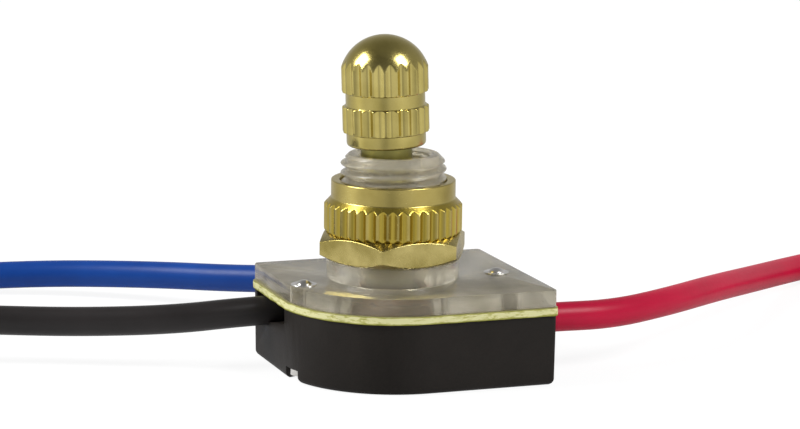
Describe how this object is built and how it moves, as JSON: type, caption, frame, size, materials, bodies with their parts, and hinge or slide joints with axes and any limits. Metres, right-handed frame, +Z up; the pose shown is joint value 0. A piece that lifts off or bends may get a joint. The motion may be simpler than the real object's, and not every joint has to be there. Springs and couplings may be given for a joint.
{
  "type": "rotary lamp switch",
  "caption": "Rotary lamp switch: brass turn knob over a clear threaded bushing with a knurled ring nut and a hex nut, on a black base cup with flexible leads.",
  "frame": {"origin": "on the underside of the base, on the axis of the threaded bushing", "axes": "+Z up along the threaded bushing, +X along the straight side of the base towards the red lead, -Y towards the side that the picture shows"},
  "size_m": [0.1576, 0.0604, 0.0332],
  "materials": {
    "phenolic": "satin",
    "fibre_sheet": "matt",
    "clear_plastic": "clear and glossy",
    "brown_fibre": "matt",
    "nickel": "bright",
    "brass_satin": "satin",
    "brass_polished": "polished",
    "contact_brass": "satin",
    "rotor_plastic": "matt",
    "spring_steel": "bright",
    "copper": "bare stranded",
    "black_insulation": "satin",
    "blue_insulation": "satin",
    "red_insulation": "satin"
  },
  "bodies": {
    "switch_body": {"base_housing": "phenolic", "insulating_sheet": "fibre_sheet", "bushing_cover": "clear_plastic", "fibre_washer": "brown_fibre", "rivets": "nickel", "hex_nut": "brass_satin", "detent_leaf": "spring_steel", "black_terminal": "contact_brass", "blue_terminal": "contact_brass", "red_terminal": "contact_brass", "black_lead": "black_insulation", "black_coil": "black_insulation", "black_bare_end": "copper", "black_core": "copper", "blue_lead": "blue_insulation", "blue_coil": "blue_insulation", "blue_bare_end": "copper", "blue_core": "copper", "red_lead": "red_insulation", "red_coil": "red_insulation", "red_bare_end": "copper", "red_core": "copper"},
    "turning_knob": {"knob": "brass_polished", "shaft": "brass_satin", "rotor": "rotor_plastic", "rotor_contact": "contact_brass", "retaining_clip": "spring_steel", "compression_spring": "spring_steel"},
    "mounting_ring": {"ring_nut": "brass_polished"}
  },
  "joints": [
    {"name": "knob_turn", "type": "hinge", "parent": "switch_body", "child": "turning_knob", "pos_m": [0, 0, 0.0008], "axis": [-0.0349, 0, 0.9994], "continuous": true},
    {"name": "ring_travel", "type": "slide", "parent": "switch_body", "child": "mounting_ring", "axis": [0, 0, 1], "range_m": [0, 0.0024]}
  ]
}
